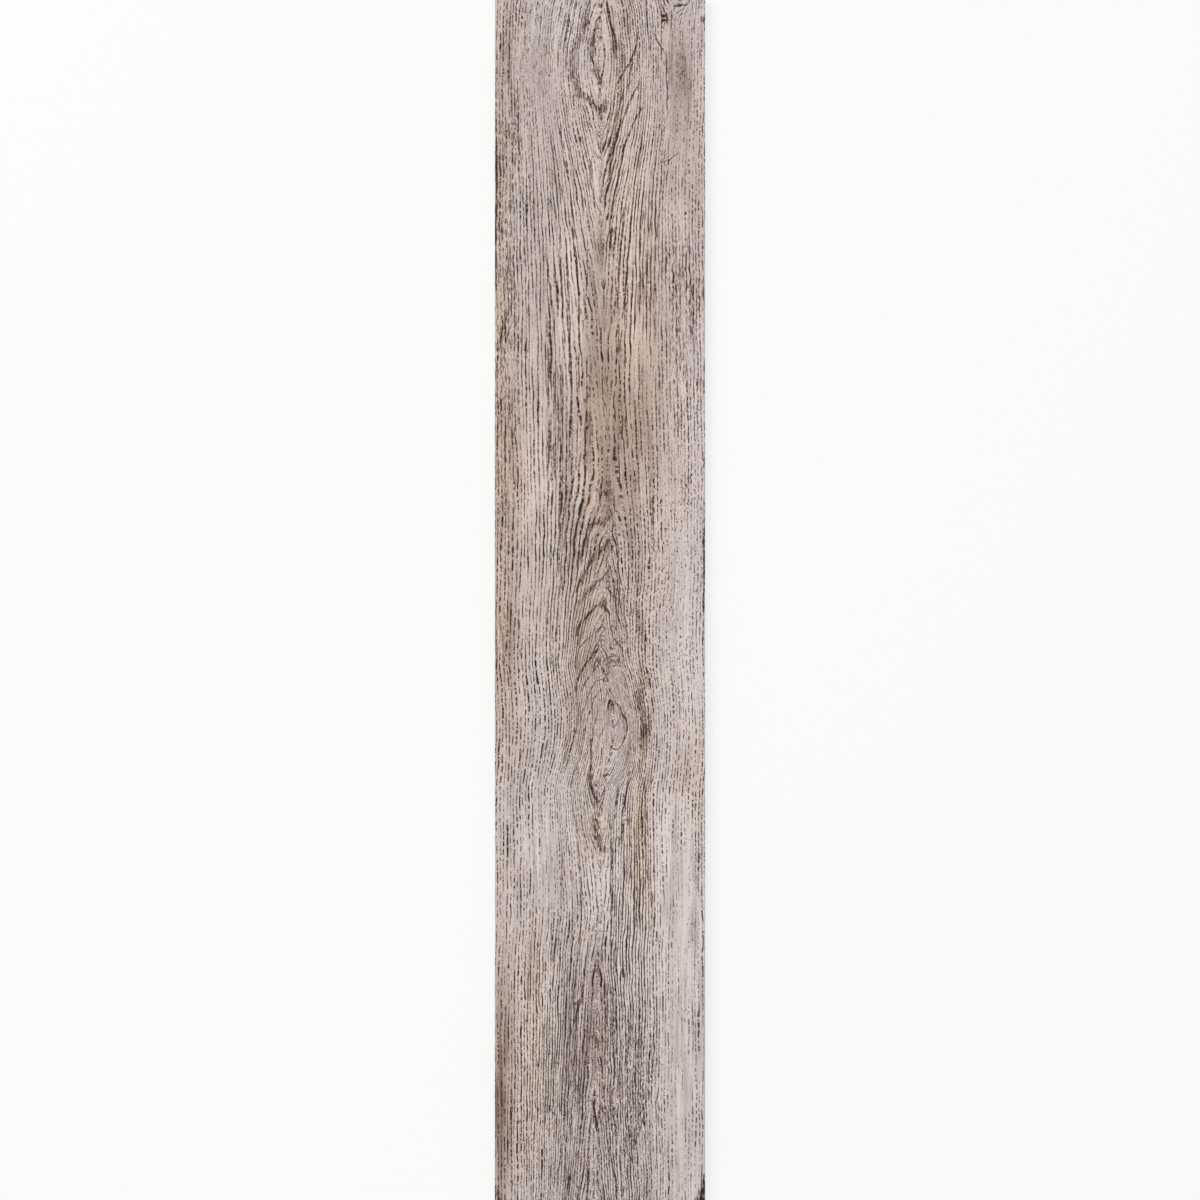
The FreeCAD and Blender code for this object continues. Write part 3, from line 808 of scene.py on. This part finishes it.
def tones(tree, value, stops):
    node = tree.nodes.new("ShaderNodeValToRGB")
    marks = node.color_ramp.elements
    while len(marks) < len(stops):
        marks.new(0.5)
    for mark, (place, colour) in zip(marks, stops):
        mark.position = place
        mark.color = (*colour, 1)
    feed(tree, node.inputs[0], value)
    return node.outputs[0]


def blended(tree, share, first, second):
    node = tree.nodes.new("ShaderNodeMix")
    node.data_type = "RGBA"
    feed(tree, node.inputs["Factor"], share)
    feed(tree, node.inputs[6], first)
    feed(tree, node.inputs[7], second)
    return node.outputs[2]


def bumped(tree, height, strength, distance, invert=False):
    node = tree.nodes.new("ShaderNodeBump")
    node.invert = invert
    node.inputs["Strength"].default_value = strength
    node.inputs["Distance"].default_value = distance
    tree.links.new(height, node.inputs["Height"])
    return node.outputs[0]


def attribute(tree, name):
    node = tree.nodes.new("ShaderNodeAttribute")
    node.attribute_name = name
    return node.outputs["Vector"]


# printed and glazed face
oakPrint = {
    "tones": [
        (0.0, (0.014, 0.005, 0.004)), (0.25, (0.098, 0.055, 0.041)), (0.4, (0.199, 0.139, 0.120)),
        (0.55, (0.354, 0.279, 0.254)), (0.7, (0.564, 0.477, 0.446)), (0.85, (0.761, 0.666, 0.631)),
    ],
    "brownTones": [
        (0.0, (0.018, 0.005, 0.003)), (0.25, (0.107, 0.052, 0.032)), (0.4, (0.215, 0.134, 0.098)),
        (0.55, (0.374, 0.273, 0.213)), (0.7, (0.585, 0.468, 0.385)), (0.85, (0.785, 0.652, 0.558)),
    ],
    "base": 0.575,
    # darkness of each kind of mark
    "fine": 0.56,
    "bold": 0.58,
    "smudge": 0.5,
    "stain": 0.17,
    "pores": 1.05,
    "streak": 0.12,
    "tick": 0.16,
    "dash": 0.15,
    "nap": 0.4,
    "speck": 0.42,
    "grit": -0.75,
    "rest": 0.18,       # mean darkness of the marks together
    "clean": 0.3,       # taken off the lines in the clean parts
    "cleanest": 0.72,   # least contrast of the lines there
    # swing of the ground under them
    "broad": 0.2,
    "mottle": 0.12,
    "band": 0.2,
    # ticks are across, along and through the grain, in millimetres
    "tickSize": (1.8, 4.0, 12),
    "dashSize": (2.6, 15, 20),
    "shakenAside": 0.45,
    "roam": 1.6,
    "gloss": 0.35,
    "bump": (0.35, 0.0003),
}
printed, tree, shader = newMaterial("oakPrintGlaze")
grain = attribute(tree, "grain")
shake = swing(tree, grain, "shake")
shakenAside = vector(tree, calc(tree, "MULTIPLY", shake, oakPrint["shakenAside"]), 0.0, 0.0)
grain = vectorMath(tree, "ADD", grain, shakenAside)
level, contrast, brown = split(tree, attribute(tree, "wash"))
lined, upright, steep = split(tree, attribute(tree, "figure"))
ticked, grainy = split(tree, attribute(tree, "marking"))[:2]
rings, along, side = split(tree, grain)
share = calc(tree, "DIVIDE", upright, steep)
fibre = vector(tree, side, along, calc(tree, "MULTIPLY", rings, 0.15))
breakUp = woodNoise(tree, grain, "breakUp")
breaks = ramp(tree, breakUp, 0.4, 0.56, 0.12, 1.0)
pores = combed(tree, grain, steep, lined)
pores = calc(tree, "MULTIPLY", pores, calc(tree, "MULTIPLY_ADD", lined, -0.05, 0.75))
streak = calc(tree, "MULTIPLY", ramp(tree, woodNoise(tree, grain, "streak"), 0.54, 0.36), breaks)
tick = ticks(tree, grain, oakPrint["tickSize"], shift=8)
dash = ticks(tree, grain, oakPrint["dashSize"], shift=20)
nap = ramp(tree, woodNoise(tree, fibre, "nap"), 0.4, 0.62)
nap = calc(tree, "MULTIPLY", nap, ramp(tree, share, 1.0, 0.7))
speck = ramp(tree, woodNoise(tree, fibre, "speck"), 0.46, 0.64)
mottle = swing(tree, grain, "mottle")
band = swing(tree, grain, "band")

# the traced strokes, ragged and broken
flat = ramp(tree, share, 0.98, 0.75, 0.5, 4.5)
hair = calc(tree, "MULTIPLY_ADD", swing(tree, grain, "hair"), flat, shake)
roam = calc(tree, "MULTIPLY_ADD", swing(tree, grain, "roam"), oakPrint["roam"], hair)
gaps = ramp(tree, breakUp, 0.34, 0.52, 0.2, 1.0)
gaps = calc(tree, "MULTIPLY", gaps, ramp(tree, woodNoise(tree, grain, "gaps"), 0.34, 0.58, 0.2, 1.2))
fine = calc(tree, "MULTIPLY", strokeLine(tree, attribute(tree, "fine"), strokeWidth["fine"], roam), gaps)
bold = calc(tree, "MULTIPLY", strokeLine(tree, attribute(tree, "bold"), strokeWidth["bold"], roam), gaps)
frayed = calc(tree, "MULTIPLY", hair, 0.8)
smudge = strokeCloud(tree, attribute(tree, "smudge"), strokeWidth["smudge"], frayed)
smudge = calc(tree, "MULTIPLY", smudge, ramp(tree, woodNoise(tree, fibre, "smudge"), 0.36, 0.62, 0.1, 1.9))
frayed = calc(tree, "MULTIPLY_ADD", mottle, 3.0, band)
stain = strokeCloud(tree, attribute(tree, "stain"), strokeWidth["stain"], frayed)
speckled = calc(tree, "MULTIPLY", stain, ramp(tree, woodNoise(tree, grain, "stain"), 0.58, 0.4, 0.1, 1.9))
strokes = weighed(
    tree, 0.0, (fine, oakPrint["fine"]), (bold, oakPrint["bold"]), (smudge, oakPrint["smudge"]),
    (speckled, oakPrint["stain"]),
)

# pores, streaks and ticks between them; clean parts keep only the darkest
lines = weighed(tree, 0.0, (pores, oakPrint["pores"]), (streak, oakPrint["streak"]), (dash, oakPrint["dash"]))
left = weighed(tree, 1, (grainy, -0.55))
left = calc(tree, "MULTIPLY_ADD", ticked, -0.85, left, clamp=True)
lines = calc(tree, "MULTIPLY", lines, left)
lines = calc(tree, "MULTIPLY_ADD", tick, calc(tree, "MULTIPLY_ADD", ticked, 0.6, oakPrint["tick"]), lines)
lines = calc(tree, "MULTIPLY_ADD", calc(tree, "MULTIPLY", speck, grainy), oakPrint["speck"], lines)
worn = ramp(tree, woodNoise(tree, grain, "worn"), 0.32, 0.66, 0.25, 1.75, smooth=False)
worn = calc(tree, "MULTIPLY", worn, calc(tree, "MULTIPLY_ADD", stain, 0.7, 1))
lines = calc(tree, "MULTIPLY", lines, calc(tree, "MULTIPLY", worn, upright))
clean = ramp(tree, contrast, 1.0, 0.0, 0.0, oakPrint["clean"], smooth=False)
lines = calc(tree, "MAXIMUM", calc(tree, "SUBTRACT", lines, clean), 0.0)

# all of it darkens the ground, which swings from streak to streak
grit = swing(tree, grain, "grit")
marks = weighed(tree, -oakPrint["rest"], (nap, oakPrint["nap"]), (grit, oakPrint["grit"]))
cleanest = calc(tree, "MAXIMUM", contrast, oakPrint["cleanest"])
dark = weighed(tree, strokes, (marks, contrast), (lines, cleanest))
streaky = ramp(tree, woodNoise(tree, grain, "level"), 0.3, 0.7, 0.2, 1.8, smooth=False)
tone = weighed(
    tree, calc(tree, "SUBTRACT", oakPrint["base"], dark), (swing(tree, grain, "broad"), oakPrint["broad"]),
    (mottle, oakPrint["mottle"]), (band, oakPrint["band"]), (level, streaky),
)
tint = weighed(tree, brown, (stain, 0.5), (band, 0.5))
tint = calc(tree, "MULTIPLY_ADD", mottle, 0.7, tint, clamp=True)
greyed = tones(tree, tone, oakPrint["tones"])
browned = tones(tree, tone, oakPrint["brownTones"])
feed(tree, shader.inputs["Base Color"], blended(tree, tint, greyed, browned))
feed(tree, shader.inputs["Roughness"], ramp(tree, tone, 0.3, 0.8, 0.62, 0.48))
shader.inputs["Specular IOR Level"].default_value = oakPrint["gloss"]
feed(tree, shader.inputs["Normal"], bumped(tree, dark, *oakPrint["bump"], invert=True))

# bare fired body: fine speckle, grinding lines round the walls, kiln wash left on the ribs
firedBody = {
    "clay": [(0.2, (0.38, 0.33, 0.285)), (0.5, (0.47, 0.42, 0.37)), (0.8, (0.55, 0.50, 0.45))],
    "wash": (0.70, 0.68, 0.64, 1),
    # sizes in millimetres
    "cloudSize": (35, 60, 35),
    "grainSize": (0.5, 0.5, 0.5),
    "speckSize": (1.6, 1.6, 1.6),
    "grindSize": (45, 45, 0.5),
    "washSize": (9, 16, 9),
    "grain": 0.5,
    "speck": -0.12,
    "grind": 0.25,
    "bump": (0.3, 0.0002),
}
body, tree, shader = newMaterial("firedBody")
metres = tree.nodes.new("ShaderNodeTexCoord").outputs["Object"]
place = vectorMath(tree, "MULTIPLY", metres, (1000, 1000, 1000))
height = split(tree, place)["Z"]
grains = calc(tree, "SUBTRACT", noise(tree, place, firedBody["grainSize"], detail=1, shift=16), 0.5)
specks = ticks(tree, place, firedBody["speckSize"], shift=17)
grind = calc(tree, "SUBTRACT", noise(tree, place, firedBody["grindSize"], detail=1, shift=18), 0.5)
grind = calc(tree, "MULTIPLY", grind, ramp(tree, height, 0.9, 1.2))     # on the walls only
clay = weighed(
    tree, noise(tree, place, firedBody["cloudSize"], detail=3, shift=15), (grains, firedBody["grain"]),
    (specks, firedBody["speck"]), (grind, firedBody["grind"]),
)
powder = ramp(tree, noise(tree, place, firedBody["washSize"], detail=4, rough=0.6, shift=19), 0.42, 0.62)
powder = calc(tree, "MULTIPLY", powder, ramp(tree, height, 0.5, 0.0, 0.12, 0.8))
bare = tones(tree, clay, firedBody["clay"])
feed(tree, shader.inputs["Base Color"], blended(tree, powder, bare, firedBody["wash"]))
feed(tree, shader.inputs["Roughness"], ramp(tree, clay, 0.2, 0.8, 0.85, 0.68))
feed(tree, shader.inputs["Normal"], bumped(tree, clay, *firedBody["bump"]))

shape.materials.clear()
shape.materials.append(printed)
shape.materials.append(body)
for face in shape.polygons:
    onPrint = face.center.z > tileHigh.z - plankShape["bevel"] and face.normal.z > 0.5
    face.material_index = 0 if onPrint else 1

# bake map: the two halves of the face side by side, then the back, then the walls as strips
bakeMap = {"edge": 0.004, "head": 0.004, "foot": 0.358, "faceWide": 0.35, "back": 0.712, "backWide": 0.18,
           "rightWall": 0.896, "leftWall": 0.916, "endWalls": 0.936, "wallWide": 0.016, "endLong": 0.2}
bakeLong = 1 - 2 * bakeMap["edge"]
sheet = shape.uv_layers.new(name="OFBake")
for face in shape.polygons:
    for corner in face.loop_indices:
        spot = shape.vertices[shape.loops[corner].vertex_index].co
        out = (spot.x - tileLow.x) / (tileHigh.x - tileLow.x)
        up = (spot.y - tileLow.y) / (tileHigh.y - tileLow.y)
        high = spot.z / tileHigh.z * bakeMap["wallWide"]
        if face.normal.z > 0.5 and face.center.y > 0:
            mapped = (bakeMap["head"] + out * bakeMap["faceWide"], 2 * up - 1)
        elif face.normal.z > 0.5:
            mapped = (bakeMap["foot"] + out * bakeMap["faceWide"], 2 * up)
        elif face.normal.z < -0.1:
            mapped = (bakeMap["back"] + out * bakeMap["backWide"], up)
        elif abs(face.normal.x) > 0.5:
            mapped = (bakeMap["rightWall" if face.normal.x > 0 else "leftWall"] + high, up)
        else:
            start = 0.5 if face.normal.y > 0 else 0
            mapped = (bakeMap["endWalls"] + high, start + out * bakeMap["endLong"])
        sheet.data[corner].uv = (mapped[0], bakeMap["edge"] + mapped[1] * bakeLong)
print("bake map laid out")

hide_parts("plank_tile")
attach(plank, "root")
print("plank finished")


# pale floor and soft studio light
bpy.ops.mesh.primitive_plane_add(size=12, location=(0, 0, 0))
floor = bpy.context.object
floor.name = "studioFloor"
floorPaint, tree, shader = newMaterial("paleFloor")
shader.inputs["Base Color"].default_value = (0.9, 0.9, 0.9, 1)
shader.inputs["Roughness"].default_value = 0.9
rays = tree.nodes.new("ShaderNodeLightPath")
seen = calc(tree, "MAXIMUM", rays.outputs["Is Camera Ray"], rays.outputs["Is Glossy Ray"])
seen = calc(tree, "MAXIMUM", seen, rays.outputs["Is Transmission Ray"])
white = tree.nodes.new("ShaderNodeEmission")
layers = tree.nodes.new("ShaderNodeMixShader")
feed(tree, layers.inputs[0], calc(tree, "MULTIPLY", seen, studio["floorGlow"]))
feed(tree, layers.inputs[1], shader.outputs[0])
feed(tree, layers.inputs[2], white.outputs[0])
feed(tree, tree.nodes["Material Output"].inputs["Surface"], layers.outputs[0])
floor.data.materials.append(floorPaint)

world = bpy.data.worlds.new("studioWorld")
bpy.context.scene.world = world
world.use_nodes = True
background = world.node_tree.nodes["Background"]
background.inputs["Color"].default_value = (1, 1, 1, 1)
background.inputs["Strength"].default_value = studio["worldLevel"]
bpy.ops.object.light_add(type="AREA", location=(-3, 2.2, 4))
key = bpy.context.object
key.data.size = 3
key.data.energy = studio["keyPower"]
key.rotation_euler = (-key.location).to_track_quat("-Z", "Y").to_euler()
print("floor and light set")
